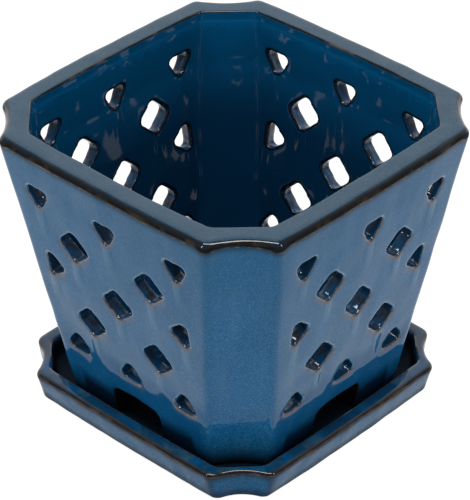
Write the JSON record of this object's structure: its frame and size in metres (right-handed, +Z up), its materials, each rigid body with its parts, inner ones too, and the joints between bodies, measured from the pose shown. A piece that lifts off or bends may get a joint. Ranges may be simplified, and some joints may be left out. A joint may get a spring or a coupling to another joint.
{
  "type": "slotted orchid pot with saucer",
  "caption": "Square flared orchid pot with scalloped corners and a lattice of diamond and triangular slots through its walls, standing on notched feet in a matching square saucer.",
  "frame": {"origin": "middle of the saucer's underside, on the surface that the pot stands on", "axes": "+Z up through the pot's mouth, +X and +Y square to two neighbouring walls"},
  "size_m": [0.1644, 0.1644, 0.141],
  "materials": {
    "saucer_glaze": "glossy blue glaze with brown breaks on the edges",
    "pot_glaze": "glossy mottled blue glaze with brown breaks on the edges"
  },
  "bodies": {
    "saucer": {"saucer": "saucer_glaze"},
    "pot": {"pot": "pot_glaze"}
  },
  "joints": [
    {"name": "pot_lift", "type": "slide", "parent": "saucer", "child": "pot", "axis": [0, 0, 1], "range_m": [0, 0.06]}
  ]
}
